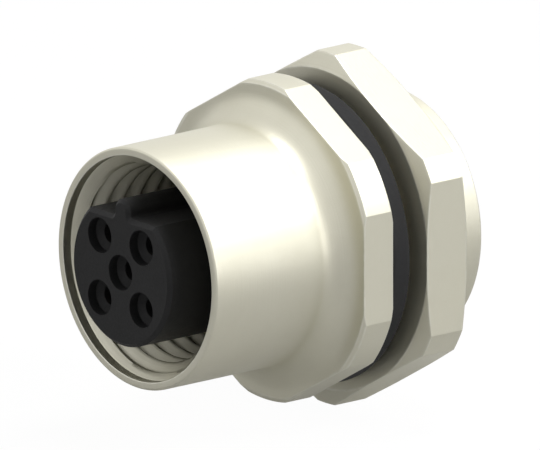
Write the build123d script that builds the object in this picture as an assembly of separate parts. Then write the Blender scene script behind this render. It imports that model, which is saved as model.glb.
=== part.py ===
from build123d import *
import math
import os

# Round panel socket with an internal coupling thread, for mounting through a hole in a panel.
# The axis runs along +Y from the mating face to the wire side, +Z is up and +X is to the right.
# The origin is on the axis, in the rear face of the hexagon flange, where the panel side begins.
# Stations named y are measured from that face. All lengths are in millimetres.

# Coupling sleeve
sleeve_length = 9.15
sleeve_outer_radius = 6.80
lip_bore_radius = 6.33
lip_bore_depth = 0.55
lip_round = 0.15
flange_root_fillet = 1.60
coupling_thread_radius = 6.00
coupling_depth = 8.00

# Hexagon flange
flange_thickness = 2.10
flange_step = 1.50
flange_corner_reach = 0.55
flange_face_inset = 0.23
flange_chamfer_depth = 0.14

# Threaded barrel behind the flange
barrel_radius = 7.00
barrel_length = 7.65
barrel_end_chamfer = 0.10
barrel_mouth_chamfer = 0.35
barrel_wall = 1.40
web_thickness = 1.20

# Thread round the barrel, between a relief at the flange and a plain land at the end
barrel_thread_depth = 0.61
barrel_pitch = 1.00
barrel_crest_flat = 0.125
barrel_root_flat = 0.25
barrel_relief_length = 0.55
barrel_land_length = 1.05

# Panel gasket
gasket_thickness = 1.35
gasket_inset = 0.05
gasket_bore_clearance = 0.10
gasket_round = 0.30

# Lock nut
nut_gap = 0.65
nut_thickness = 2.85
nut_wall = 1.95
nut_corner_reach = 1.00
nut_face_reach = 0.04
nut_chamfer_depth = 0.31
nut_thread_clearance = 0.05
nut_countersink = 0.35

# Front insert
insert_radius = 4.20
insert_proud = 1.20
insert_flat_height = 3.15
insert_edge_chamfer = 0.22
insert_web_clearance = 0.05
key_half_width = 0.64
key_top_height = 4.17
key_root_fillet = 0.20

# Collar of the insert and the seal ring in its groove
collar_clearance = 0.10
collar_length = 3.00
seal_section = 0.90
seal_clearance = 0.05
seal_offset = 1.50

# Locating rib and keyway that stop the insert turning
rib_half_width = 0.60
rib_height = 0.30
rib_clearance = 0.05

# Socket contacts
contact_count_on_circle = 4
contact_circle_radius = 2.50
first_contact_angle = 135.0
entry_radius = 1.00
entry_depth = 0.575
entry_hole_radius = 0.575
entry_cone_half_angle = 60.0
entry_land_depth = 1.65
contact_bore_radius = 0.525
contact_bore_depth = 5.85
tine_wall = 0.165
tine_slot_width = 0.20
tine_slot_length = 4.50
tine_length = 5.80
contact_body_radius = 0.85
contact_body_length = 4.60
contact_collar_radius = 1.00
contact_collar_length = 0.90
contact_clearance = 0.05
tail_radius = 0.75
tail_beyond_barrel = 2.00
cup_bore_radius = 0.50
cup_bore_depth = 2.60
cup_scoop_length = 1.80

# Steel hood over the tines of each contact
hood_wall = 0.12
hood_clearance = 0.03
hood_lip_thickness = 0.15
hood_lip_radius = 0.54

# Rear insulator and the retaining ring behind it
rear_insulator_gap = 0.05
rear_insulator_length = 4.75
ring_thickness = 0.70
ring_groove_depth = 0.40
ring_clearance = 0.05
ring_radial_width = 1.10
ring_opening_angle = 36.0
ring_lug_radius = 0.80
ring_lug_hole_radius = 0.35

# How the thread's ridge is joined: the share of its depth that is sunk, and how far it is cut clear
ridge_sunk_share = 0.09
ridge_margin = 0.01

# Stations along the axis
y_flange_rear = 0.0
y_flange_front = y_flange_rear - flange_thickness
y_lip = y_flange_front - sleeve_length
y_insert_face = y_lip - insert_proud
y_web_front = y_lip + coupling_depth
y_web_rear = y_web_front + web_thickness
y_barrel_end = y_flange_rear + barrel_length
y_barrel_thread = y_flange_rear + barrel_relief_length
y_barrel_land = y_barrel_end - barrel_land_length
y_gasket_rear = y_flange_rear + gasket_thickness
y_nut_front = y_gasket_rear + nut_gap
y_nut_rear = y_nut_front + nut_thickness
y_collar_rear = y_web_rear + collar_length
y_chamber_front = y_insert_face + entry_land_depth
y_hood_front = y_chamber_front + contact_clearance
y_contact_tip = y_hood_front + hood_lip_thickness + contact_clearance
y_tine_root = y_contact_tip + tine_length
y_contact_collar = y_tine_root + contact_body_length
y_contact_collar_rear = y_contact_collar + contact_collar_length
y_tail_end = y_barrel_end + tail_beyond_barrel
y_rear_insulator = y_collar_rear + rear_insulator_gap
y_rear_insulator_rear = y_rear_insulator + rear_insulator_length
y_ring = y_rear_insulator_rear + ring_clearance
y_ring_rear = y_ring + ring_thickness

# Radii that follow from a fit
barrel_bore_radius = barrel_radius - barrel_wall
barrel_root_radius = barrel_radius - barrel_thread_depth
flange_flat_radius = barrel_radius + flange_step
flange_corner_radius = flange_flat_radius + flange_corner_reach
flange_face_radius = flange_corner_radius - flange_face_inset
gasket_bore_radius = barrel_radius + gasket_bore_clearance
gasket_outer_radius = flange_flat_radius - gasket_inset
nut_bore_radius = barrel_radius + nut_thread_clearance
nut_flat_radius = nut_bore_radius + nut_wall
nut_corner_radius = nut_flat_radius + nut_corner_reach
nut_face_radius = nut_flat_radius + nut_face_reach
collar_radius = barrel_bore_radius - collar_clearance
rib_top_radius = barrel_bore_radius + rib_height
keyway_top_radius = rib_top_radius + rib_clearance
seal_circle_radius = barrel_bore_radius - seal_clearance - seal_section / 2
seal_groove_radius = seal_circle_radius - seal_section / 2 - seal_clearance
ring_groove_radius = barrel_bore_radius + ring_groove_depth
ring_outer_radius = ring_groove_radius - ring_clearance
ring_inner_radius = ring_outer_radius - ring_radial_width
tine_radius = contact_bore_radius + tine_wall
hood_inner_radius = tine_radius + hood_clearance
hood_outer_radius = hood_inner_radius + hood_wall
chamber_radius = contact_body_radius + contact_clearance
cutting_margin = 1.0


def cross_plane(y):
    """A plane square to the axis at station y, with its own x up and its own y to the right."""
    return Plane(origin=(0, y, 0), x_dir=(0, 0, 1), z_dir=(0, 1, 0))


def turned(outline):
    """A solid of revolution about the axis from edges drawn with x as radius and y as station."""
    return revolve(make_face(outline.edges()), Axis.Y)


def drum(radius, y_from, y_to):
    """A plain cylinder on the axis between two stations."""
    return extrude(cross_plane(y_from) * Circle(radius), y_to - y_from)


def contact_places():
    """The (x, z) centre of each contact: a circle, clockwise seen from the front, then the one on the axis."""
    step = 360.0 / contact_count_on_circle
    angles = [math.radians(first_contact_angle - step * i) for i in range(contact_count_on_circle)]
    circle = [(contact_circle_radius * math.cos(a), contact_circle_radius * math.sin(a)) for a in angles]
    return circle + [(0.0, 0.0)]


def at_contacts(shape):
    """Copies of a shape that is drawn on the axis, one at each contact."""
    return [Pos(x, 0, z) * shape for x, z in contact_places()]


def thread_ridge(root, crest, pitch, root_flat, crest_flat, y_crest, y_from, y_to):
    """Ridge of a right-hand thread whose crest passes y_crest at +X, wound past both given stations."""
    turns_before = math.ceil((y_crest - pitch / 4 - y_from) / pitch) + 1
    y_start = y_crest - pitch / 4 - turns_before * pitch
    turns = math.ceil((y_to - y_start) / pitch) + 1
    path = Helix(pitch, turns * pitch, root, center=(0, y_start, 0), direction=(0, 1, 0))
    half_root = (pitch - root_flat) / 2
    half_crest = crest_flat / 2
    foot = root + ridge_sunk_share * (root - crest)
    half_foot = half_root + ridge_sunk_share * (half_root - half_crest)
    section = Polyline((foot, -half_foot), (crest, -half_crest), (crest, half_crest), (foot, half_foot), close=True)
    start = Plane(origin=(0, y_start, 0), x_dir=(0, 0, 1), z_dir=(1, 0, 0))
    return sweep(start * make_face(section), path=path, is_frenet=True)


def hexagon_waste(flat_radius, y_from, y_to):
    """What a milling cutter takes off a round blank to leave a hexagon with corners up and down."""
    height = y_to - y_from
    corner = flat_radius / math.cos(math.pi / 6)
    blank = extrude(cross_plane(y_from) * Circle(2 * corner), height)
    prism = extrude(cross_plane(y_from) * RegularPolygon(corner, 6), height)
    return blank - prism


def shell_outline():
    """Half section of the shell's outside, filled to the axis, before the hexagon is milled."""
    fillet_radius = sleeve_outer_radius + flange_root_fillet
    y_fillet = y_flange_front - flange_root_fillet
    lip = CenterArc((sleeve_outer_radius - lip_round, y_lip + lip_round), lip_round, -90, 90)
    root = CenterArc((fillet_radius, y_fillet), flange_root_fillet, 180, -90)
    side = Line((sleeve_outer_radius, y_lip + lip_round), (sleeve_outer_radius, y_fillet))
    rest = Polyline(
        (fillet_radius, y_flange_front),
        (flange_face_radius, y_flange_front),
        (flange_corner_radius, y_flange_front + flange_chamfer_depth),
        (flange_corner_radius, y_flange_rear - flange_chamfer_depth),
        (flange_face_radius, y_flange_rear),
        (barrel_radius, y_flange_rear),
        (barrel_root_radius, y_barrel_thread),
        (barrel_root_radius, y_barrel_land - barrel_thread_depth / 2),
        (barrel_radius, y_barrel_land),
        (barrel_radius, y_barrel_end - barrel_end_chamfer),
        (barrel_radius - barrel_end_chamfer, y_barrel_end),
        (0, y_barrel_end),
        (0, y_lip),
        (sleeve_outer_radius - lip_round, y_lip),
    )
    return lip + side + root + rest


def barrel_thread():
    """Threaded core of the barrel, which rises out of the relief and ends at the land."""
    core = drum(barrel_root_radius, y_barrel_thread - 3 * barrel_pitch, y_barrel_land + 3 * barrel_pitch)
    core += thread_ridge(
        barrel_root_radius,
        barrel_radius,
        barrel_pitch,
        barrel_root_flat,
        barrel_crest_flat,
        y_barrel_thread,
        y_barrel_thread,
        y_barrel_land,
    )
    reach = barrel_radius + ridge_margin
    envelope = Polyline(
        (0, y_barrel_thread),
        (barrel_root_radius, y_barrel_thread),
        (reach, y_barrel_thread + reach - barrel_root_radius),
        (reach, y_barrel_land),
        (0, y_barrel_land),
        close=True,
    )
    return core & turned(envelope)


def shell_bore():
    """Half section of all that is hollow in the shell, with the coupling bore at its major radius."""
    y_cone = y_lip + lip_bore_depth
    cone_depth = lip_bore_radius - coupling_thread_radius
    web_hole = insert_radius + insert_web_clearance
    return Polyline(
        (0, y_lip - cutting_margin),
        (lip_bore_radius, y_lip - cutting_margin),
        (lip_bore_radius, y_cone),
        (coupling_thread_radius, y_cone + cone_depth),
        (coupling_thread_radius, y_web_front),
        (web_hole, y_web_front),
        (web_hole, y_web_rear),
        (barrel_bore_radius, y_web_rear),
        (barrel_bore_radius, y_barrel_end - barrel_mouth_chamfer),
        (barrel_bore_radius + barrel_mouth_chamfer, y_barrel_end),
        (barrel_bore_radius + barrel_mouth_chamfer, y_barrel_end + cutting_margin),
        (0, y_barrel_end + cutting_margin),
        close=True,
    )


def keyway():
    """The slot in the barrel's bore that takes the ribs of both insulators."""
    middle = keyway_top_radius / 2
    half_width = rib_half_width + rib_clearance
    length = y_barrel_end + cutting_margin - y_web_rear
    slot = Rectangle(keyway_top_radius, 2 * half_width)
    return extrude(cross_plane(y_web_rear) * Pos(middle, 0) * slot, length)


def make_shell():
    """Sleeve, hexagon flange and threaded barrel, turned and milled from one bar."""
    body = turned(shell_outline()) + barrel_thread()
    body -= hexagon_waste(flange_flat_radius, y_flange_front, y_flange_rear)
    body -= turned(shell_bore())
    body -= keyway()
    body -= drum(ring_groove_radius, y_ring - ring_clearance, y_ring_rear + ring_clearance)
    return body


def make_gasket():
    """Flat rubber ring with rounded rims that seals the flange on the panel."""
    ring = drum(gasket_outer_radius, y_flange_rear, y_gasket_rear)
    ring = fillet(ring.edges().filter_by(GeomType.CIRCLE), gasket_round)
    return ring - drum(gasket_bore_radius, y_flange_rear, y_gasket_rear)


def make_nut():
    """Hexagon lock nut with turned corners and a countersunk bore."""
    sink = nut_bore_radius + nut_countersink
    outline = Polyline(
        (nut_bore_radius, y_nut_front + nut_countersink),
        (sink, y_nut_front),
        (nut_face_radius, y_nut_front),
        (nut_corner_radius, y_nut_front + nut_chamfer_depth),
        (nut_corner_radius, y_nut_rear - nut_chamfer_depth),
        (nut_face_radius, y_nut_rear),
        (sink, y_nut_rear),
        (nut_bore_radius, y_nut_rear - nut_countersink),
        close=True,
    )
    return turned(outline) - hexagon_waste(nut_flat_radius, y_nut_front, y_nut_rear)


def insert_section():
    """Cross section of the insert: a round with a flat top and a round topped key standing on it."""
    flat_cut = Pos(insert_flat_height + insert_radius, 0) * Rectangle(2 * insert_radius, 2 * insert_radius)
    key_centre = key_top_height - key_half_width
    stem = Pos(key_centre / 2, 0) * Rectangle(key_centre, 2 * key_half_width)
    section = Circle(insert_radius) - flat_cut + stem + Pos(key_centre, 0) * Circle(key_half_width)
    roots = [
        v
        for v in section.vertices()
        if math.isclose(v.X, insert_flat_height, abs_tol=1e-4) and abs(v.Y) < 2 * key_half_width
    ]
    return fillet(roots, key_root_fillet)


def entry_hole():
    """Stepped hole that leads a pin into the contact on the axis."""
    run = (entry_radius - entry_hole_radius) / math.tan(math.radians(entry_cone_half_angle))
    outline = Polyline(
        (0, y_insert_face - cutting_margin),
        (entry_radius, y_insert_face - cutting_margin),
        (entry_radius, y_insert_face + entry_depth),
        (entry_hole_radius, y_insert_face + entry_depth + run),
        (entry_hole_radius, y_chamber_front),
        (0, y_chamber_front),
        close=True,
    )
    return turned(outline)


def contact_chamber():
    """Stepped hole from the rear of the insert that holds one contact and its collar."""
    chamber = drum(chamber_radius, y_chamber_front, y_contact_collar)
    seat = contact_collar_radius + contact_clearance
    return chamber + drum(seat, y_contact_collar - contact_clearance, y_collar_rear + cutting_margin)


def locating_rib(y_from, y_to):
    """The rib along the top of an insulator that slides in the keyway."""
    rib = Rectangle(rib_top_radius, 2 * rib_half_width)
    return extrude(cross_plane(y_from) * Pos(rib_top_radius / 2, 0) * rib, y_to - y_from)


def seal_groove():
    """Ring shaped groove round the collar of the insert."""
    half_width = seal_section / 2 + seal_clearance
    y_middle = y_web_rear + seal_offset
    outer = drum(rib_top_radius + cutting_margin, y_middle - half_width, y_middle + half_width)
    return outer - drum(seal_groove_radius, y_middle - half_width, y_middle + half_width)


def make_insert():
    """Front insulator: keyed body, collar, seal groove and five contact chambers."""
    body = extrude(cross_plane(y_insert_face) * insert_section(), y_web_rear - y_insert_face)
    front = body.faces().sort_by(Axis.Y)[0]
    body = chamfer(front.edges(), insert_edge_chamfer)
    body += drum(collar_radius, y_web_rear + collar_clearance, y_collar_rear)
    body += drum(insert_radius, y_web_rear, y_collar_rear)
    body += locating_rib(y_web_rear + collar_clearance, y_collar_rear)
    body -= seal_groove()
    for hole in at_contacts(entry_hole()) + at_contacts(contact_chamber()):
        body -= hole
    return body


def make_seal():
    """Square rubber ring in the groove of the insert's collar."""
    section = Pos(seal_circle_radius, y_web_rear + seal_offset) * Rectangle(seal_section, seal_section)
    return revolve(section, Axis.Y)


def make_rear_insulator():
    """Rear insulator that clamps the contact collars and guides the tails."""
    body = drum(collar_radius, y_rear_insulator, y_rear_insulator_rear)
    body += locating_rib(y_rear_insulator, y_rear_insulator_rear)
    hole = drum(tail_radius + contact_clearance, y_rear_insulator, y_rear_insulator_rear)
    for place in at_contacts(hole):
        body -= place
    return body


def make_retaining_ring():
    """Spring ring with two eyed lugs that snaps into the groove of the barrel."""
    plane = cross_plane(y_ring)
    ring = Circle(ring_outer_radius) - Circle(ring_inner_radius)
    half_opening = math.radians(ring_opening_angle / 2)
    reach = 2 * ring_outer_radius
    low = (-reach * math.cos(half_opening), -reach * math.sin(half_opening))
    high = (-reach * math.cos(half_opening), reach * math.sin(half_opening))
    ring -= make_face(Polyline((0, 0), low, high, close=True))
    lug_angle = half_opening + ring_lug_radius / ring_inner_radius
    for side in (-1, 1):
        centre = Pos(-ring_inner_radius * math.cos(lug_angle), side * ring_inner_radius * math.sin(lug_angle))
        ring += centre * Circle(ring_lug_radius)
        ring -= centre * Circle(ring_lug_hole_radius)
    return extrude(plane * ring, ring_thickness)


def make_contact():
    """Turned socket contact on the axis: two tines, body, collar, tail and solder cup."""
    outline = Polyline(
        (contact_bore_radius, y_contact_tip),
        (tine_radius, y_contact_tip),
        (tine_radius, y_tine_root),
        (contact_body_radius, y_tine_root),
        (contact_body_radius, y_contact_collar),
        (contact_collar_radius, y_contact_collar),
        (contact_collar_radius, y_contact_collar_rear),
        (tail_radius, y_contact_collar_rear),
        (tail_radius, y_tail_end),
        (cup_bore_radius, y_tail_end),
        (cup_bore_radius, y_tail_end - cup_bore_depth),
        (0, y_tail_end - cup_bore_depth),
        (0, y_contact_tip + contact_bore_depth),
        (contact_bore_radius, y_contact_tip + contact_bore_depth),
        close=True,
    )
    body = turned(outline)
    slot = Rectangle(2 * contact_body_radius, tine_slot_width)
    body -= extrude(cross_plane(y_contact_tip) * slot, tine_slot_length)
    scoop = Pos(contact_body_radius, 0) * Rectangle(2 * contact_body_radius, 2 * contact_body_radius)
    return body - extrude(cross_plane(y_tail_end - cup_scoop_length) * scoop, cup_scoop_length)


def make_hood():
    """Thin steel hood that closes the entry and backs the tines of the contact on the axis."""
    y_rear = y_tine_root - contact_clearance
    outline = Polyline(
        (hood_lip_radius, y_hood_front),
        (hood_outer_radius, y_hood_front),
        (hood_outer_radius, y_rear),
        (hood_inner_radius, y_rear),
        (hood_inner_radius, y_hood_front + hood_lip_thickness),
        (hood_lip_radius, y_hood_front + hood_lip_thickness),
        close=True,
    )
    return turned(outline)


def all_parts():
    """Every piece of the socket by its name."""
    parts = {
        "shell": make_shell(),
        "panel_gasket": make_gasket(),
        "lock_nut": make_nut(),
        "contact_insert": make_insert(),
        "insert_seal": make_seal(),
        "rear_insulator": make_rear_insulator(),
        "retaining_ring": make_retaining_ring(),
    }
    for number, contact in enumerate(at_contacts(make_contact()), start=1):
        parts[f"contact_{number}"] = contact
    for number, hood in enumerate(at_contacts(make_hood()), start=1):
        parts[f"contact_hood_{number}"] = hood
    return parts


os.makedirs("parts", exist_ok=True)
for name, shape in all_parts().items():
    export_step(shape, f"parts/{name}.step")
    print(name, round(shape.volume, 2))
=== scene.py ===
"""Looks of a round panel socket: coupling shell, keyed insert, panel gasket and lock nut.

Sizes in the classes are millimetres unless they say otherwise, and become metres when a mesh is made. The
axis runs along +Y from the mating face to the wire side, +Z is up through the key and +X is to the right.
The origin is in the rear face of the hexagon flange.
"""

import logging
import math
from dataclasses import dataclass, field
from enum import Enum

import bmesh
import bpy
import numpy as np
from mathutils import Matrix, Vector


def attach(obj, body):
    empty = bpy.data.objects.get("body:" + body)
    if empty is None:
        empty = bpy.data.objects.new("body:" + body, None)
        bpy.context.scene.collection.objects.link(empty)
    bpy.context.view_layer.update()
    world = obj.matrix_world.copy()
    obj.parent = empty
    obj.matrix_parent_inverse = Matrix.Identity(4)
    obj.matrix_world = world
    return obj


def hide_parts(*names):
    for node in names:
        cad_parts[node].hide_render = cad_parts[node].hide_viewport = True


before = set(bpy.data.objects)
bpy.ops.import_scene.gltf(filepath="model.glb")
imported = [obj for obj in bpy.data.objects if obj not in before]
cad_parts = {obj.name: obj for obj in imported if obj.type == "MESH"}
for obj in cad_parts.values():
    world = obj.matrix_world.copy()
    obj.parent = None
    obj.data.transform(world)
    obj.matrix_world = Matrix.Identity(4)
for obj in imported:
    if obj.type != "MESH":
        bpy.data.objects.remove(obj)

MM = 0.001
TURN = 2 * math.pi
TINY = 1e-9
ANGLE_DIGITS = 9
WELD_METRES = 2e-7
SHARP_DEGREES = 40.0
EDGE_MARK = "edge_mark"
WHITE = (1.0, 1.0, 1.0, 1.0)

# Even steps nearer to a corner than the clearance are left out, and further angles guard each corner.
CLEARANCE_DEGREES = 0.3
GUARD_DEGREES = 0.2

# A broken edge reaches this far from its corner, or at most the share of a shorter side.
BROKEN_EDGE = 0.03
CURVE_SHARE = 0.4
CURVE_STEPS = 4
GUARD_REACH = 0.12
GUARD_SHARE = 0.48

Colour = tuple[float, float, float]
Place = tuple[float | np.ndarray, float | np.ndarray]
Tree = bpy.types.NodeTree
Node = bpy.types.Node
Socket = bpy.types.NodeSocket

log = logging.getLogger("panel_socket")


class Slot(Enum):
    """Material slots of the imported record."""

    PLATED = "plated_brass"
    RUBBER = "gasket_rubber"
    PLASTIC = "insert_plastic"
    STEEL = "spring_steel"
    GOLD = "gold_plating"


class Body(Enum):
    """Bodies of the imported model."""

    CONNECTOR = "connector"
    NUT = "nut"


# Surfaces


def angles_round(even_count: int, corner_degrees: list[float]) -> np.ndarray:
    """Angles once round the axis, evenly spaced, with more where an outline has corners.

    Args:
        even_count: Number of even steps in the turn.
        corner_degrees: Angles of the outline's corners.

    Returns:
        Rising angles in radians from 0 to a full turn, both included.
    """
    corners = np.array(corner_degrees, float)
    corners = np.concatenate([corners - GUARD_DEGREES, corners, corners + GUARD_DEGREES])
    corners = np.mod(np.radians(corners), TURN)
    even = np.linspace(0.0, TURN, even_count + 1)[1:-1]
    if len(corners):
        gap = np.abs(even[:, None] - corners[None, :]).min(axis=1)
        even = even[gap > math.radians(CLEARANCE_DEGREES)]
    return np.unique(np.round(np.concatenate([[0.0], even, corners, [TURN]]), ANGLE_DIGITS))


def hexagon_radius(angles: np.ndarray, across_flats: float) -> np.ndarray:
    """Distance from the axis to a hexagon's side.

    It is half the width across flats over the cosine of the angle from the nearest flat's middle, and
    the flats' middles stand at 0, 60, 120 degrees and so on.

    Args:
        angles: Angles about the axis in radians.
        across_flats: Width across flats.

    Returns:
        The side's radius at each angle.
    """
    off = np.mod(angles + math.pi / 6, math.pi / 3) - math.pi / 6
    return across_flats / 2 / np.cos(off)


def hexagon_corners(across_flats: float, radii: list[float]) -> list[float]:
    """Angles in degrees at which a hexagon's side reaches each of the given radii."""
    half = [math.degrees(math.acos(across_flats / 2 / r)) for r in radii]
    return [60.0 * k + sign * h for k in range(6) for h in half for sign in (-1, 1)]


def arc(centre: tuple[float, float], radius: float, start: float, end: float, steps: int) -> np.ndarray:
    """Points of a round in a profile: centre plus radius times cosine and sine of the angle.

    Args:
        centre: Radius and station of the arc's centre.
        radius: The arc's own radius.
        start: First angle in degrees, from the outward direction towards the rear.
        end: Last angle in degrees.
        steps: Number of points.

    Returns:
        Array (steps, 2) of radius and station.
    """
    turn = np.radians(np.linspace(start, end, steps))
    return np.stack([centre[0] + radius * np.cos(turn), centre[1] + radius * np.sin(turn)], axis=-1)


def rows_of(points: list[Place], columns: int) -> np.ndarray:
    """Profile corners as an array (rows, columns, 2), from radii and stations that may vary by column."""
    return np.array(
        [np.stack(np.broadcast_arrays(r, y, np.zeros(columns))[:2], axis=-1) for r, y in points]
    )


def toward(corner: np.ndarray, other: np.ndarray, distance: float, share: float) -> np.ndarray:
    """Points on the sides that lead from corners to their neighbours.

    Each is the corner plus the side's direction times the distance, held to a share of the side.

    Args:
        corner: Corners, with radius and station on the last axis.
        other: Neighbour of each corner.
        distance: Distance from the corner.
        share: Largest share of the side.

    Returns:
        The points, in the corners' shape.
    """
    span = other - corner
    length = np.maximum(np.linalg.norm(span, axis=-1, keepdims=True), TINY)
    return corner + span * np.minimum(distance, share * length) / length


def softened(corners: np.ndarray, reach: float, guard: float, steps: int) -> tuple[np.ndarray, np.ndarray]:
    """A profile whose inner corners are replaced by short curves, as a broken edge is.

    Each curve is a parabola: (1 - t) squared times its start, plus 2 t (1 - t) times the corner, plus
    t squared times its end. Start and end lie on the corner's two sides. A guard row follows on each
    side, so that shading and wear end close by.

    Args:
        corners: Array (rows, columns, 2) of radius and station.
        reach: Distance of a curve's ends from its corner.
        guard: Distance of the guard rows from the corner.
        steps: Points in each curve.

    Returns:
        The new rows, and an array of the same size without the last axis that is 1 on the edges.
    """
    before, corner, after = corners[:-2], corners[1:-1], corners[2:]
    start = toward(corner, before, reach, CURVE_SHARE)
    end = toward(corner, after, reach, CURVE_SHARE)
    t = np.linspace(0.0, 1.0, steps)[:, None, None, None]
    curve = (1 - t) ** 2 * start + 2 * t * (1 - t) * corner + t**2 * end
    first = toward(corner, before, guard, GUARD_SHARE)[None]
    last = toward(corner, after, guard, GUARD_SHARE)[None]
    rows = np.concatenate([first, curve, last])
    marks = np.ones(rows.shape[:-1])
    marks[[0, -1]] = 0.0
    rows = np.moveaxis(rows, 0, 1).reshape(-1, *corners.shape[1:])
    marks = np.moveaxis(marks, 0, 1).reshape(-1, corners.shape[1])
    nothing = np.zeros((1, corners.shape[1]))
    return np.concatenate([corners[:1], rows, corners[-1:]]), np.concatenate([nothing, marks, nothing])


@dataclass
class Profile:
    """Rows of a closed profile, gathered in the order in which they are walked."""

    columns: int
    rows: list[np.ndarray] = field(default_factory=list)
    marks: list[np.ndarray] = field(default_factory=list)

    def add(self, rows: np.ndarray, marks: np.ndarray | None = None) -> None:
        """Adds rows to the profile.

        Args:
            rows: Radius and station, as (rows, 2) where every column is alike, or (rows, columns, 2).
            marks: Edge marks (rows, columns), or None where there is no edge.
        """
        if rows.ndim == 2:
            rows = np.repeat(rows[:, None, :], self.columns, axis=1)
        self.rows.append(rows)
        self.marks.append(np.zeros(rows.shape[:2]) if marks is None else marks)

    def add_softened(
        self,
        points: list[Place],
        reach: float = BROKEN_EDGE,
        guard: float = GUARD_REACH,
        steps: int = CURVE_STEPS,
    ) -> None:
        """Adds a line of corners with its inner corners softened."""
        self.add(*softened(rows_of(points, self.columns), reach, guard, steps))

    def spun(self, angles: np.ndarray) -> tuple[np.ndarray, np.ndarray]:
        """Carries the profile round the axis.

        x is the radius times the cosine of the angle, y is the station and z is the radius times the
        sine of the angle.

        Args:
            angles: One angle in radians for each column.

        Returns:
            Points (rows, columns, 3) and edge marks (rows, columns).
        """
        rows = np.concatenate(self.rows)
        radius, station = rows[..., 0], rows[..., 1]
        points = np.stack([radius * np.cos(angles), station, radius * np.sin(angles)], axis=-1)
        return points, np.concatenate(self.marks)


@dataclass(frozen=True)
class Thread:
    """A right-hand screw thread with flats on its crests and roots.

    The shares, and the reach of the bevel at each corner of the form, are parts of the pitch. The phase
    is the first crest's distance from the thread's start, at angle 0.
    """

    pitch: float
    crest_radius: float
    root_radius: float
    crest_share: float
    root_share: float
    phase: float = 0.0
    bevel: float = 0.02

    def form(self) -> tuple[np.ndarray, np.ndarray]:
        """One turn of the thread's form.

        The radius goes straight from the crest's to the root's between their flats, and a short bevel
        cuts every corner.

        Returns:
            Places along the pitch, from 0 to 1, and the radius at each.
        """
        crest, root = self.crest_share / 2, 0.5 - self.root_share / 2
        middle = (crest + root) / 2
        half = [0.0, crest - self.bevel, crest + self.bevel, (crest + middle) / 2, middle]
        half += [(root + middle) / 2, root - self.bevel, root + self.bevel, 0.5]
        places = np.array(half + [1.0 - p for p in reversed(half[1:-1])])
        distance = np.minimum(places, 1.0 - places)
        return places, np.interp(distance, [crest, root], [self.crest_radius, self.root_radius])

    def wound(self, y_from: float, y_to: float, angles: np.ndarray) -> tuple[np.ndarray, np.ndarray]:
        """Rows of the thread between two stations.

        The station of a row is the first crest's plus the pitch times the turns walked less the angle's
        share of a turn, held between the two stations. Rows past an end fall together and are welded.

        Args:
            y_from: First station.
            y_to: Last station.
            angles: One angle in radians for each column.

        Returns:
            Radius and station, each (rows, columns).
        """
        places, radii = self.form()
        y_crest = y_from + self.phase - self.pitch * math.ceil(self.phase / self.pitch)
        turns = math.ceil((y_to - y_crest) / self.pitch) + 1
        walked = (np.arange(turns)[:, None] + places[None, :]).ravel()
        station = y_crest + self.pitch * (walked[:, None] - angles[None, :] / TURN)
        radius = np.repeat(np.tile(radii, turns)[:, None], len(angles), axis=1)
        return radius, np.clip(station, y_from, y_to)


def welded_mesh(name: str, points: np.ndarray, marks: np.ndarray) -> bpy.types.Mesh:
    """Makes one closed mesh in metres from a grid whose last row joins its first.

    Each face joins two neighbours of a row to the same two of the next row. The first and the last
    column lie on each other and are welded, and shading is smooth between sharp edges.

    Args:
        name: The mesh's name.
        points: Array (rows, columns, 3) in millimetres.
        marks: Edge marks (rows, columns).

    Returns:
        The new mesh.
    """
    index = np.arange(marks.size).reshape(marks.shape)
    index = np.vstack([index, index[:1]])
    quads = np.stack([index[:-1, :-1], index[1:, :-1], index[1:, 1:], index[:-1, 1:]], axis=-1)
    mesh = bpy.data.meshes.new(name)
    mesh.from_pydata(points.reshape(-1, 3) * MM, [], quads.reshape(-1, 4))
    mark = mesh.attributes.new(EDGE_MARK, "FLOAT", "POINT")
    mark.data.foreach_set("value", marks.ravel().astype(np.float32))
    weld = bmesh.new()
    weld.from_mesh(mesh)
    bmesh.ops.remove_doubles(weld, verts=weld.verts, dist=WELD_METRES)
    weld.to_mesh(mesh)
    weld.free()
    mesh.shade_smooth()
    mesh.set_sharp_from_angle(angle=math.radians(SHARP_DEGREES))
    mesh.validate()
    return mesh


def show(
    mesh: bpy.types.Mesh, material: bpy.types.Material, body: Body, nodes: list[str]
) -> bpy.types.Object:
    """Puts a dressed mesh into the scene in place of the CAD nodes that it stands for.

    Args:
        mesh: Finished mesh in the row frame.
        material: Its material.
        body: Body that it rides on.
        nodes: CAD nodes that it stands for.

    Returns:
        The new object.
    """
    mesh.materials.append(material)
    piece = bpy.data.objects.new(mesh.name, mesh)
    bpy.context.scene.collection.objects.link(piece)
    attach(piece, body.value)
    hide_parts(*nodes)
    log.info("%s: %d faces, stands for %s", piece.name, len(mesh.polygons), ", ".join(nodes))
    return piece


# Shader groups


def new_group(name: str, numbers: list[str], output: str) -> tuple[Tree, Node, Node]:
    """Starts a shader node group with an input called Vector, number inputs and a number output.

    Args:
        name: The group's name.
        numbers: Names of the number inputs, all of which each material sets.
        output: Name of the output.

    Returns:
        The group's tree, its input node and its output node.
    """
    tree = bpy.data.node_groups.new(name, "ShaderNodeTree")
    tree.interface.new_socket("Vector", in_out="INPUT", socket_type="NodeSocketVector")
    for label in numbers:
        tree.interface.new_socket(label, in_out="INPUT", socket_type="NodeSocketFloat")
    tree.interface.new_socket(output, in_out="OUTPUT", socket_type="NodeSocketFloat")
    return tree, tree.nodes.new("NodeGroupInput"), tree.nodes.new("NodeGroupOutput")


def join(tree: Tree, source: Socket | float, target: Socket) -> None:
    """Links a socket to another, or sets the target to a number.

    Args:
        tree: Node tree of both sockets.
        source: Output socket, or a number.
        target: Input socket.
    """
    if isinstance(source, (int, float)):
        target.default_value = source
    else:
        tree.links.new(source, target)


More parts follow.
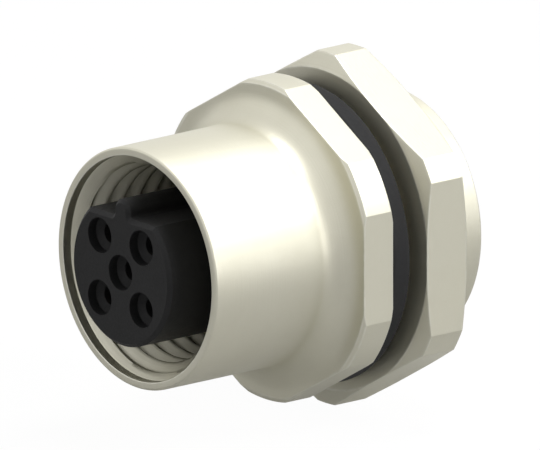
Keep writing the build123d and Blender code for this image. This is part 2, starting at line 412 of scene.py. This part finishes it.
def math_node(tree: Tree, operation: str, *values: Socket | float) -> Socket:
    """Adds a Math node.

    Args:
        tree: Node tree that it goes into.
        operation: The node's operation.
        values: A socket or a number for each input.

    Returns:
        The node's output.
    """
    node = tree.nodes.new("ShaderNodeMath")
    node.operation = operation
    for socket, value in zip(node.inputs, values):
        join(tree, value, socket)
    return node.outputs[0]


def noise_node(tree: Tree, vector: Socket, scale: Socket | float, detail: float) -> Socket:
    """Adds a Noise Texture.

    Args:
        tree: Node tree that it goes into.
        vector: Place at which the noise is read.
        scale: Lumps for each metre.
        detail: Number of finer layers.

    Returns:
        The noise's value.
    """
    node = tree.nodes.new("ShaderNodeTexNoise")
    join(tree, vector, node.inputs["Vector"])
    join(tree, scale, node.inputs["Scale"])
    node.inputs["Detail"].default_value = detail
    return node.outputs["Fac"]


def stretch_node(tree: Tree, value: Socket, band: tuple[float, float]) -> Socket:
    """Adds a Map Range that takes a band's low end to 0 and its high end to 1, smoothly and held there.

    Args:
        tree: Node tree that it goes into.
        value: Value to stretch.
        band: Low and high end.

    Returns:
        The stretched value.
    """
    node = tree.nodes.new("ShaderNodeMapRange")
    node.interpolation_type = "SMOOTHSTEP"
    join(tree, value, node.inputs["Value"])
    node.inputs["From Min"].default_value, node.inputs["From Max"].default_value = band
    return node.outputs["Result"]


@dataclass
class Effects:
    """Shader groups that several materials share, each built once.

    A detail is the number of a noise's finer layers, and a band the noise values that become 0 and 1.
    """

    line_detail: float = 2.0
    line_band: tuple[float, float] = (0.25, 0.75)
    fine_detail: float = 2.0
    coarse_detail: float = 3.0
    coarse_ratio: float = 0.21
    grain_band: tuple[float, float] = (0.3, 0.7)
    patch_detail: float = 3.0
    patch_band: tuple[float, float] = (0.25, 0.6)
    edge_power: float = 1.5
    blotch_detail: float = 4.0
    blotch_band: tuple[float, float] = (0.35, 0.7)
    turning: Tree = field(init=False)
    grain: Tree = field(init=False)
    polish: Tree = field(init=False)
    handling: Tree = field(init=False)

    def __post_init__(self) -> None:
        """Builds the four groups."""
        self.turning = self.turning_lines()
        self.grain = self.fine_grain()
        self.polish = self.edge_polish()
        self.handling = self.handling_marks()

    def turning_lines(self) -> Tree:
        """Lines that a lathe leaves: noise on the distance from the axis and on the station alone.

        Returns:
            The group, from Vector and Lines per metre to Lines.
        """
        tree, source, sink = new_group("turning_lines", ["Lines per metre"], "Lines")
        parts = tree.nodes.new("ShaderNodeSeparateXYZ")
        tree.links.new(source.outputs["Vector"], parts.inputs[0])
        across = math_node(tree, "POWER", parts.outputs["X"], 2.0)
        upward = math_node(tree, "POWER", parts.outputs["Z"], 2.0)
        radius = math_node(tree, "SQRT", math_node(tree, "ADD", across, upward))
        place = tree.nodes.new("ShaderNodeCombineXYZ")
        tree.links.new(radius, place.inputs["X"])
        tree.links.new(parts.outputs["Y"], place.inputs["Y"])
        lines = noise_node(tree, place.outputs[0], source.outputs["Lines per metre"], self.line_detail)
        tree.links.new(stretch_node(tree, lines, self.line_band), sink.inputs["Lines"])
        return tree

    def fine_grain(self) -> Tree:
        """Fine even grain of a blasted, plated or moulded surface, from two sizes of noise.

        Returns:
            The group, from Vector, Scale and Coarse, which is the wider noise's share, to Grain.
        """
        tree, source, sink = new_group("fine_grain", ["Scale", "Coarse"], "Grain")
        vector, scale = source.outputs["Vector"], source.outputs["Scale"]
        wide = math_node(tree, "MULTIPLY", scale, self.coarse_ratio)
        mix = tree.nodes.new("ShaderNodeMix")
        join(tree, source.outputs["Coarse"], mix.inputs["Factor"])
        join(tree, noise_node(tree, vector, scale, self.fine_detail), mix.inputs["A"])
        join(tree, noise_node(tree, vector, wide, self.coarse_detail), mix.inputs["B"])
        tree.links.new(stretch_node(tree, mix.outputs["Result"], self.grain_band), sink.inputs["Grain"])
        return tree

    def edge_polish(self) -> Tree:
        """Where handling has polished the edges: the edge mark, broken up by noise.

        Returns:
            The group, from Vector, Edge, Scale and Amount to Mask.
        """
        tree, source, sink = new_group("edge_polish", ["Edge", "Scale", "Amount"], "Mask")
        vector, scale = source.outputs["Vector"], source.outputs["Scale"]
        broken = stretch_node(tree, noise_node(tree, vector, scale, self.patch_detail), self.patch_band)
        edge = math_node(tree, "POWER", source.outputs["Edge"], self.edge_power)
        worn = math_node(tree, "MULTIPLY", edge, broken)
        mask = math_node(tree, "MULTIPLY", worn, source.outputs["Amount"])
        tree.links.new(mask, sink.inputs["Mask"])
        return tree

    def handling_marks(self) -> Tree:
        """Wide soft blotches, as fingers and plating leave them.

        Returns:
            The group, from Vector, Scale and Amount to Mask.
        """
        tree, source, sink = new_group("handling_marks", ["Scale", "Amount"], "Mask")
        vector, scale = source.outputs["Vector"], source.outputs["Scale"]
        wide = stretch_node(tree, noise_node(tree, vector, scale, self.blotch_detail), self.blotch_band)
        mask = math_node(tree, "MULTIPLY", wide, source.outputs["Amount"])
        tree.links.new(mask, sink.inputs["Mask"])
        return tree


# Finishes


@dataclass(frozen=True)
class Finish:
    """One finish: its colours, its gloss and how strongly the shared effects show on it.

    Lines and scales are for each metre, depths are metres, and amounts and shares go from 0 to 1.
    """

    name: str
    colour: Colour
    dull_colour: Colour
    edge_colour: Colour
    metallic: float
    roughness: float
    roughness_spread: float
    specular: float
    lines_per_metre: float
    line_depth: float
    grain_scale: float
    grain_depth: float
    blotch_scale: float
    blotch_amount: float
    polish_amount: float
    polish_scale: float = 1500.0
    polish_smoothing: float = 0.1
    coarse_share: float = 0.3

    def material(self, effects: Effects) -> bpy.types.Material:
        """Builds the finish's material.

        Args:
            effects: The shared shader groups.

        Returns:
            A node material on Object coordinates.
        """
        made = bpy.data.materials.new(self.name)
        made.use_nodes = True
        tree = made.node_tree
        shader = tree.nodes["Principled BSDF"]
        place = tree.nodes.new("ShaderNodeTexCoord").outputs["Object"]
        mark = tree.nodes.new("ShaderNodeAttribute")
        mark.attribute_name = EDGE_MARK
        grained = {"Vector": place, "Scale": self.grain_scale, "Coarse": self.coarse_share}
        grain = self.effect(tree, effects.grain, grained)
        turned = {"Vector": place, "Lines per metre": self.lines_per_metre}
        lines = self.effect(tree, effects.turning, turned)
        handled = {"Vector": place, "Scale": self.blotch_scale, "Amount": self.blotch_amount}
        blotches = self.effect(tree, effects.handling, handled)
        worn = {"Edge": mark.outputs["Fac"], "Scale": self.polish_scale, "Amount": self.polish_amount}
        polish = self.effect(tree, effects.polish, {"Vector": place, **worn})
        dulled = self.blend(tree, blotches, self.colour, self.dull_colour)
        tree.links.new(self.blend(tree, polish, dulled, self.edge_colour), shader.inputs["Base Color"])
        rough = math_node(tree, "MULTIPLY_ADD", grain, self.roughness_spread, self.roughness)
        rough = math_node(tree, "MULTIPLY_ADD", blotches, self.roughness_spread, rough)
        rough = math_node(tree, "MULTIPLY_ADD", polish, -self.polish_smoothing, rough)
        tree.links.new(rough, shader.inputs["Roughness"])
        shader.inputs["Metallic"].default_value = self.metallic
        shader.inputs["Specular IOR Level"].default_value = self.specular
        relief = self.bump(tree, lines, self.line_depth, None)
        tree.links.new(self.bump(tree, grain, self.grain_depth, relief), shader.inputs["Normal"])
        return made

    def effect(self, tree: Tree, group: Tree, values: dict[str, Socket | float]) -> Socket:
        """Places a shared group with this material's values.

        Args:
            tree: The material's tree.
            group: The shared group.
            values: A socket or a number for each of its inputs.

        Returns:
            The group's output.
        """
        node = tree.nodes.new("ShaderNodeGroup")
        node.node_tree = group
        for label, value in values.items():
            join(tree, value, node.inputs[label])
        return node.outputs[0]

    def blend(self, tree: Tree, mask: Socket, first: Socket | Colour, second: Colour) -> Socket:
        """Mixes two colours by a mask.

        Args:
            tree: The material's tree.
            mask: 0 for the first colour and 1 for the second.
            first: Colour, or a socket that gives one.
            second: Colour.

        Returns:
            The mixed colour.
        """
        mix = tree.nodes.new("ShaderNodeMix")
        mix.data_type = "RGBA"
        tree.links.new(mask, mix.inputs["Factor"])
        for socket, colour in ((mix.inputs["A"], first), (mix.inputs["B"], second)):
            if isinstance(colour, tuple):
                socket.default_value = (*colour, 1.0)
            else:
                tree.links.new(colour, socket)
        return mix.outputs["Result"]

    def bump(self, tree: Tree, height: Socket, depth: float, under: Socket | None) -> Socket:
        """Adds a Bump node.

        Args:
            tree: The material's tree.
            height: Height from 0 to 1.
            depth: Depth in metres of a height of 1.
            under: Normal that it goes on top of, or None for the surface's own.

        Returns:
            The new normal.
        """
        node = tree.nodes.new("ShaderNodeBump")
        node.inputs["Strength"].default_value = 1.0
        node.inputs["Distance"].default_value = depth
        tree.links.new(height, node.inputs["Height"])
        if under is not None:
            tree.links.new(under, node.inputs["Normal"])
        return node.outputs["Normal"]


SATIN_NICKEL = Finish(
    name="satin_nickel",
    colour=(0.71, 0.69, 0.575),
    dull_colour=(0.67, 0.65, 0.535),
    edge_colour=(0.82, 0.81, 0.73),
    metallic=0.82,
    roughness=0.40,
    roughness_spread=0.06,
    specular=0.5,
    lines_per_metre=9000.0,
    line_depth=2.0e-6,
    grain_scale=9000.0,
    grain_depth=1.0e-6,
    blotch_scale=260.0,
    blotch_amount=0.6,
    polish_amount=0.5,
)

BLACK_PLASTIC = Finish(
    name="moulded_black_plastic",
    colour=(0.016, 0.016, 0.0165),
    dull_colour=(0.021, 0.021, 0.0215),
    edge_colour=(0.035, 0.035, 0.036),
    metallic=0.0,
    roughness=0.55,
    roughness_spread=0.08,
    specular=0.3,
    lines_per_metre=3000.0,
    line_depth=1.0e-7,
    grain_scale=7000.0,
    grain_depth=4.0e-6,
    blotch_scale=400.0,
    blotch_amount=0.5,
    polish_amount=0.3,
)

GASKET_RUBBER = Finish(
    name="matt_black_rubber",
    colour=(0.034, 0.034, 0.035),
    dull_colour=(0.042, 0.042, 0.043),
    edge_colour=(0.039, 0.039, 0.040),
    metallic=0.0,
    roughness=0.72,
    roughness_spread=0.08,
    specular=0.25,
    lines_per_metre=2500.0,
    line_depth=2.0e-6,
    grain_scale=5000.0,
    grain_depth=6.0e-6,
    blotch_scale=350.0,
    blotch_amount=0.6,
    polish_amount=0.2,
)

DRAWN_STEEL = Finish(
    name="bright_spring_steel",
    colour=(0.56, 0.56, 0.58),
    dull_colour=(0.44, 0.44, 0.46),
    edge_colour=(0.7, 0.7, 0.72),
    metallic=1.0,
    roughness=0.3,
    roughness_spread=0.08,
    specular=0.5,
    lines_per_metre=12000.0,
    line_depth=1.5e-6,
    grain_scale=9000.0,
    grain_depth=1.0e-6,
    blotch_scale=500.0,
    blotch_amount=0.6,
    polish_amount=0.3,
)

GOLD_PLATING = Finish(
    name="thin_gold_plating",
    colour=(0.83, 0.60, 0.22),
    dull_colour=(0.70, 0.49, 0.19),
    edge_colour=(0.92, 0.72, 0.32),
    metallic=1.0,
    roughness=0.26,
    roughness_spread=0.07,
    specular=0.5,
    lines_per_metre=14000.0,
    line_depth=1.0e-6,
    grain_scale=11000.0,
    grain_depth=0.6e-6,
    blotch_scale=600.0,
    blotch_amount=0.6,
    polish_amount=0.3,
)

FINISHES: dict[Slot, Finish] = {
    Slot.PLATED: SATIN_NICKEL,
    Slot.PLASTIC: BLACK_PLASTIC,
    Slot.RUBBER: GASKET_RUBBER,
    Slot.STEEL: DRAWN_STEEL,
    Slot.GOLD: GOLD_PLATING,
}


# Sub-assemblies


@dataclass(frozen=True)
class HexagonRim:
    """Side of a hexagon plate whose corners and faces are turned, with broken edges."""

    across_flats: float
    corner_radius: float
    face_radius: float
    chamfer_depth: float
    y_front: float
    y_rear: float

    def corner_angles(self) -> list[float]:
        """Angles in degrees at which the side's outline changes."""
        radii = [self.face_radius, self.face_radius + BROKEN_EDGE, self.corner_radius]
        return hexagon_corners(self.across_flats, radii)

    def corners(self, angles: np.ndarray) -> list[Place]:
        """The four corners of the side's profile at each angle.

        The side is the hexagon's radius held at the corner radius. Each face ends at the face radius, or
        at the side less the broken edge where that is smaller. The chamfer between them falls in
        proportion to how far the side stands out of the face radius.

        Args:
            angles: One angle in radians for each column.

        Returns:
            Radius and station of the front face's end, the side's two ends and the rear face's end.
        """
        side = np.minimum(hexagon_radius(angles, self.across_flats), self.corner_radius)
        face = np.minimum(side - BROKEN_EDGE, self.face_radius)
        slope = self.chamfer_depth / (self.corner_radius - self.face_radius)
        fall = np.maximum(slope * (side - self.face_radius), BROKEN_EDGE)
        front, rear = self.y_front, self.y_rear
        return [(face, front), (side, front + fall), (side, rear - fall), (face, rear)]


@dataclass
class CouplingShell:
    """Sleeve with the coupling thread, hexagon flange and threaded barrel, turned from one bar."""

    y_lip: float = -11.25
    sleeve_radius: float = 6.80
    lip_round: float = 0.15
    lip_steps: int = 9
    lip_edge: float = 0.05
    lip_bore_radius: float = 6.33
    lip_bore_depth: float = 0.55
    root_fillet: float = 1.60
    fillet_steps: int = 17
    coupling_relief_radius: float = 6.00
    coupling_relief_length: float = 0.95
    y_web_front: float = -3.25
    y_web_rear: float = -2.05
    web_hole_radius: float = 4.25
    barrel_radius: float = 7.00
    barrel_bore_radius: float = 5.60
    y_barrel_end: float = 7.65
    end_chamfer: float = 0.10
    mouth_chamfer: float = 0.35
    thread_start: float = 0.55
    run_out_slope: float = 2.0
    land_length: float = 1.05
    keyway_half_width: float = 0.65
    keyway_top: float = 5.95
    keyway_sine: float = 0.5
    ring_groove_radius: float = 6.00
    y_ring_groove: tuple[float, float] = (5.75, 6.55)
    even_columns: int = 180
    coupling_thread: Thread = Thread(
        pitch=1.16, crest_radius=5.46, root_radius=6.00, crest_share=0.05, root_share=0.10, phase=0.775
    )
    barrel_thread: Thread = Thread(
        pitch=1.0, crest_radius=7.00, root_radius=6.39, crest_share=0.125, root_share=0.25
    )
    flange: HexagonRim = HexagonRim(
        across_flats=17.0,
        corner_radius=9.05,
        face_radius=8.82,
        chamfer_depth=0.14,
        y_front=-2.10,
        y_rear=0.0,
    )

    def keyway(self, angles: np.ndarray) -> np.ndarray:
        """Distance from the axis to the keyway's wall.

        It is the flat top's height over the sine of the angle, or the half width over the cosine where
        that is nearer. Below the keyway's sine there is no keyway, and it is 0.

        Args:
            angles: One angle in radians for each column.

        Returns:
            The wall's radius at each angle.
        """
        sine = np.sin(angles)
        upper = sine > self.keyway_sine
        top = self.keyway_top / np.where(upper, sine, 1.0)
        side = self.keyway_half_width / np.maximum(np.abs(np.cos(angles)), TINY)
        return np.where(upper, np.minimum(top, side), 0.0)

    def keyway_angles(self) -> list[float]:
        """Angles of the keyway's corners: where its sides meet the bore and the mouth, and its top's ends.

        Returns:
            The angles in degrees, from +X towards +Z.
        """
        mouth_radius = self.barrel_bore_radius + self.mouth_chamfer
        foot = math.degrees(math.acos(self.keyway_half_width / self.barrel_bore_radius))
        mouth = math.degrees(math.acos(self.keyway_half_width / mouth_radius))
        top = math.degrees(math.atan2(self.keyway_top, self.keyway_half_width))
        return [foot, mouth, top, 180.0 - top, 180.0 - mouth, 180.0 - foot]

    def outside(self, profile: Profile, angles: np.ndarray) -> None:
        """Walks the lip, the sleeve, its root fillet and the flange.

        Args:
            profile: Profile that the rows are added to.
            angles: One angle in radians for each column.
        """
        lip_centre = (self.sleeve_radius - self.lip_round, self.y_lip + self.lip_round)
        profile.add(arc(lip_centre, self.lip_round, -90.0, 0.0, self.lip_steps))
        root_centre = (self.sleeve_radius + self.root_fillet, self.flange.y_front - self.root_fillet)
        profile.add(arc(root_centre, self.root_fillet, 180.0, 90.0, self.fillet_steps))
        start = (root_centre[0], self.flange.y_front)
        end = (self.barrel_radius, self.flange.y_rear)
        profile.add_softened([start, *self.flange.corners(angles), end])

    def barrel(self, profile: Profile, angles: np.ndarray) -> None:
        """Walks the barrel's thread, from its relief to the plain land, and the barrel's end and bore.

        Args:
            profile: Profile that the rows are added to.
            angles: One angle in radians for each column.
        """
        y_land = self.y_barrel_end - self.land_length
        radius, station = self.barrel_thread.wound(self.thread_start, y_land, angles)
        depth = self.barrel_thread.crest_radius - self.barrel_thread.root_radius
        relief = self.barrel_thread.root_radius + (station - self.thread_start)
        run_out = self.barrel_thread.crest_radius - self.run_out_slope * (y_land - station)
        radius = np.minimum(np.maximum(radius, run_out), np.maximum(relief, self.barrel_radius - depth))
        profile.add(np.stack([radius, station], axis=-1))
        bore = np.maximum(self.barrel_bore_radius, self.keyway(angles))
        mouth = np.maximum(self.barrel_bore_radius + self.mouth_chamfer, self.keyway(angles))
        groove_front, groove_rear = self.y_ring_groove
        end = [
            (self.barrel_radius, y_land),
            (self.barrel_radius, self.y_barrel_end - self.end_chamfer),
            (self.barrel_radius - self.end_chamfer, self.y_barrel_end),
            (mouth, self.y_barrel_end),
            (bore, self.y_barrel_end - self.mouth_chamfer),
            (bore, groove_rear),
            (self.ring_groove_radius, groove_rear),
            (self.ring_groove_radius, groove_front),
            (bore, groove_front),
            (bore, self.y_web_rear),
        ]
        profile.add_softened(end)

    def inside(self, profile: Profile, angles: np.ndarray) -> None:
        """Walks the web and the coupling thread, from its relief out to the lead-in cone and the lip.

        Args:
            profile: Profile that the rows are added to.
            angles: One angle in radians for each column.
        """
        y_relief = self.y_web_front - self.coupling_relief_length
        y_bore = self.y_lip + self.lip_bore_depth
        web = [
            (self.web_hole_radius, self.y_web_rear),
            (self.web_hole_radius, self.y_web_front),
            (self.coupling_relief_radius, self.y_web_front),
        ]
        profile.add(rows_of(web, len(angles)))
        radius, station = self.coupling_thread.wound(y_bore, y_relief, angles)
        lead_in = self.lip_bore_radius - (station - y_bore)
        run_out = self.coupling_relief_radius - (y_relief - station)
        radius = np.maximum(radius, np.maximum(lead_in, run_out))
        profile.add(np.stack([radius, station], axis=-1)[::-1])
        lip = [
            (self.lip_bore_radius, y_bore),
            (self.lip_bore_radius, self.y_lip),
            (self.sleeve_radius - self.lip_round, self.y_lip),
        ]
        profile.add_softened(lip, self.lip_edge)

    def build(self, material: bpy.types.Material) -> bpy.types.Object:
        """Builds the shell as one closed surface and dresses it.

        Args:
            material: The shell's material.

        Returns:
            The new object.
        """
        angles = angles_round(self.even_columns, self.flange.corner_angles() + self.keyway_angles())
        profile = Profile(len(angles))
        self.outside(profile, angles)
        self.barrel(profile, angles)
        self.inside(profile, angles)
        mesh = welded_mesh("coupling_shell", *profile.spun(angles))
        return show(mesh, material, Body.CONNECTOR, ["shell"])


@dataclass
class LockNut:
    """Hexagon nut with turned corners and a countersunk bore."""

    bore_radius: float = 7.05
    countersink: float = 0.35
    even_columns: int = 180
    rim: HexagonRim = HexagonRim(
        across_flats=18.0,
        corner_radius=10.0,
        face_radius=9.04,
        chamfer_depth=0.31,
        y_front=2.00,
        y_rear=4.85,
    )

    def build(self, material: bpy.types.Material) -> bpy.types.Object:
        """Builds the nut as one closed ring and dresses it.

        Args:
            material: The nut's material.

        Returns:
            The new object.
        """
        angles = angles_round(self.even_columns, self.rim.corner_angles())
        bore, sink = self.bore_radius, self.bore_radius + self.countersink
        front, rear = self.rim.y_front, self.rim.y_rear
        loop = [(bore, front + self.countersink), (sink, front), *self.rim.corners(angles)]
        loop += [(sink, rear), (bore, rear - self.countersink)]
        profile = Profile(len(angles))
        profile.add_softened([loop[-1], *loop, loop[0]])
        mesh = welded_mesh("hexagon_lock_nut", *profile.spun(angles))
        return show(mesh, material, Body.NUT, ["lock_nut"])


@dataclass
class PanelGasket:
    """Flat rubber ring with rounded outer rims."""

    bore_radius: float = 7.10
    outer_radius: float = 8.45
    thickness: float = 1.35
    rim_round: float = 0.30
    rim_guard: float = 0.10
    rim_steps: int = 9
    even_columns: int = 160

    def build(self, material: bpy.types.Material) -> bpy.types.Object:
        """Builds the gasket as one closed ring and dresses it.

        Args:
            material: The gasket's material.

        Returns:
            The new object.
        """
        angles = angles_round(self.even_columns, [])
        inner, outer, rear = self.bore_radius, self.outer_radius, self.thickness
        section = [(inner, 0.0), (outer, 0.0), (outer, rear), (inner, rear)]
        profile = Profile(len(angles))
        profile.add_softened(section, self.rim_round, self.rim_round + self.rim_guard, self.rim_steps)
        mesh = welded_mesh("flat_gasket", *profile.spun(angles))
        return show(mesh, material, Body.CONNECTOR, ["panel_gasket"])


@dataclass
class InsertAssembly:
    """Insulators, seal, retaining ring, contacts and hoods, which keep the CAD nodes' own meshes."""

    contact_count: int = 5

    def nodes(self) -> dict[Slot, list[str]]:
        """Sorts the CAD nodes by their material.

        Returns:
            Names of the nodes for each material slot.
        """
        numbers = range(1, self.contact_count + 1)
        return {
            Slot.PLASTIC: ["contact_insert", "rear_insulator"],
            Slot.RUBBER: ["insert_seal"],
            Slot.STEEL: ["retaining_ring", *(f"contact_hood_{n}" for n in numbers)],
            Slot.GOLD: [f"contact_{n}" for n in numbers],
        }

    def dress(self, materials: dict[Slot, bpy.types.Material]) -> None:
        """Gives each CAD node the material of its slot.

        Args:
            materials: One material for each slot.
        """
        for slot, names in self.nodes().items():
            for name in names:
                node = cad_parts[name]
                node.data.materials.clear()
                node.data.materials.append(materials[slot])
                log.info("%s: CAD node, %s", name, materials[slot].name)


# Studio


def seen_from(azimuth: float, elevation: float) -> Vector:
    """Unit vector towards a place round the object: azimuth 0 is in front, at -Y, and 90 right, at +X."""
    turn, rise = math.radians(azimuth), math.radians(elevation)
    return Vector((math.sin(turn) * math.cos(rise), -math.cos(turn) * math.cos(rise), math.sin(rise)))


@dataclass(frozen=True)
class Lamp:
    """A soft square lamp that faces the object, with its side and distance in metres and power in watts."""

    name: str
    azimuth: float
    elevation: float
    side: float
    power: float
    distance: float = 0.30

    def place(self, target: Vector) -> None:
        """Puts the lamp into the scene.

        Args:
            target: Point in metres that the lamp faces.
        """
        away = seen_from(self.azimuth, self.elevation)
        data = bpy.data.lights.new(self.name, "AREA")
        data.shape = "SQUARE"
        data.size = self.side
        data.energy = self.power
        lamp = bpy.data.objects.new(self.name, data)
        lamp.location = target + away * self.distance
        lamp.rotation_euler = away.to_track_quat("Z", "Y").to_euler()
        bpy.context.scene.collection.objects.link(lamp)


@dataclass
class Studio:
    """Camera at the photograph's angle, pale floor, world and lamps.

    The floor is grey under its own white glow. The glow covers a share of it, floor_white, and its
    strength times that share stays just under white, so that a light shadow shows. Reflections show
    only a part of the glow, floor_gloss. Clip distances are metres.
    """

    target: tuple[float, float, float] = (4.207, -5.252, 2.336)
    azimuth: float = 49.97
    elevation: float = 15.17
    frame_width: float = 29.67
    distance: float = 140.0
    clip: tuple[float, float] = (0.001, 10.0)
    floor_height: float = -10.0
    floor_side: float = 3000.0
    floor_grey: float = 0.55
    floor_roughness: float = 0.9
    floor_glow: float = 1.08
    floor_white: float = 0.9
    floor_gloss: float = 0.30
    world_grey: float = 0.02
    lamps: tuple[Lamp, ...] = (
        Lamp("side_low_right", azimuth=110.0, elevation=10.0, side=0.12, power=0.115),
        Lamp("key_behind_right", azimuth=130.0, elevation=40.0, side=0.12, power=0.310),
        Lamp("top_behind", azimuth=180.0, elevation=75.0, side=0.12, power=0.370),
        Lamp("fill_high_right", azimuth=40.0, elevation=50.0, side=0.40, power=0.026),
        Lamp("fill_high_front", azimuth=0.0, elevation=60.0, side=0.40, power=0.032),
        Lamp("fill_front_left", azimuth=-30.0, elevation=15.0, side=0.30, power=0.044),
    )

    def camera(self) -> None:
        """Places the camera, with parallel lines of sight as in the photograph."""
        back = seen_from(self.azimuth, self.elevation)
        data = bpy.data.cameras.new("photo_camera")
        data.type = "ORTHO"
        data.ortho_scale = self.frame_width * MM
        data.clip_start, data.clip_end = self.clip
        camera = bpy.data.objects.new("photo_camera", data)
        camera.location = (Vector(self.target) + back * self.distance) * MM
        camera.rotation_euler = back.to_track_quat("Z", "Y").to_euler()
        bpy.context.scene.collection.objects.link(camera)
        bpy.context.scene.camera = camera

    def seen(self, tree: Tree, gloss_share: float) -> Socket:
        """1 for a ray that shows the background, from the camera or through glass.

        Args:
            tree: Node tree that the nodes go into.
            gloss_share: Value for a ray off a gloss.

        Returns:
            The largest of the three values that hold for the ray.
        """
        path = tree.nodes.new("ShaderNodeLightPath")
        gloss = math_node(tree, "MULTIPLY", path.outputs["Is Glossy Ray"], gloss_share)
        seen = math_node(tree, "MAXIMUM", path.outputs["Is Camera Ray"], gloss)
        return math_node(tree, "MAXIMUM", seen, path.outputs["Is Transmission Ray"])

    def world(self) -> None:
        """Lights the room evenly in grey, and shows it white."""
        world = bpy.data.worlds.new("pale_room")
        world.use_nodes = True
        tree = world.node_tree
        room = tree.nodes["Background"]
        room.inputs["Color"].default_value = WHITE
        seen = self.seen(tree, 1.0)
        strength = math_node(tree, "MULTIPLY_ADD", seen, 1.0 - self.world_grey, self.world_grey)
        tree.links.new(strength, room.inputs["Strength"])
        bpy.context.scene.world = world

    def floor_material(self) -> bpy.types.Material:
        """Builds the floor's material.

        Returns:
            A matt grey that a white glow covers for the rays that show the background.
        """
        material = bpy.data.materials.new("pale_floor")
        material.use_nodes = True
        tree = material.node_tree
        plain = tree.nodes["Principled BSDF"]
        grey = self.floor_grey
        plain.inputs["Base Color"].default_value = (grey, grey, grey, 1.0)
        plain.inputs["Roughness"].default_value = self.floor_roughness
        plain.inputs["Specular IOR Level"].default_value = 0.0
        glow = tree.nodes.new("ShaderNodeEmission")
        glow.inputs["Strength"].default_value = self.floor_glow
        mix = tree.nodes.new("ShaderNodeMixShader")
        share = math_node(tree, "MULTIPLY", self.seen(tree, self.floor_gloss), self.floor_white)
        tree.links.new(share, mix.inputs[0])
        tree.links.new(plain.outputs[0], mix.inputs[1])
        tree.links.new(glow.outputs[0], mix.inputs[2])
        tree.links.new(mix.outputs[0], tree.nodes["Material Output"].inputs["Surface"])
        return material

    def floor(self) -> None:
        """Lays the pale floor, which shows nearly white and keeps a light shadow."""
        half = self.floor_side / 2
        corners = np.array([(-half, -half), (half, -half), (half, half), (-half, half)])
        points = np.column_stack([corners, np.full(4, self.floor_height)]) * MM
        mesh = bpy.data.meshes.new("floor")
        mesh.from_pydata(points, [], [(0, 1, 2, 3)])
        mesh.materials.append(self.floor_material())
        piece = bpy.data.objects.new("floor", mesh)
        bpy.context.scene.collection.objects.link(piece)

    def build(self) -> None:
        """Sets up the whole studio."""
        self.camera()
        self.world()
        self.floor()
        for lamp in self.lamps:
            lamp.place(Vector(self.target) * MM)
        bpy.context.scene.view_settings.view_transform = "Standard"


def main() -> None:
    """Builds the pieces in order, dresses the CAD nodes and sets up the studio."""
    logging.basicConfig(level=logging.INFO, format="%(name)s %(message)s")
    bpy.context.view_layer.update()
    effects = Effects()
    materials = {slot: finish.material(effects) for slot, finish in FINISHES.items()}
    CouplingShell().build(materials[Slot.PLATED])
    LockNut().build(materials[Slot.PLATED])
    PanelGasket().build(materials[Slot.RUBBER])
    InsertAssembly().dress(materials)
    Studio().build()


if __name__ == "__main__":
    main()
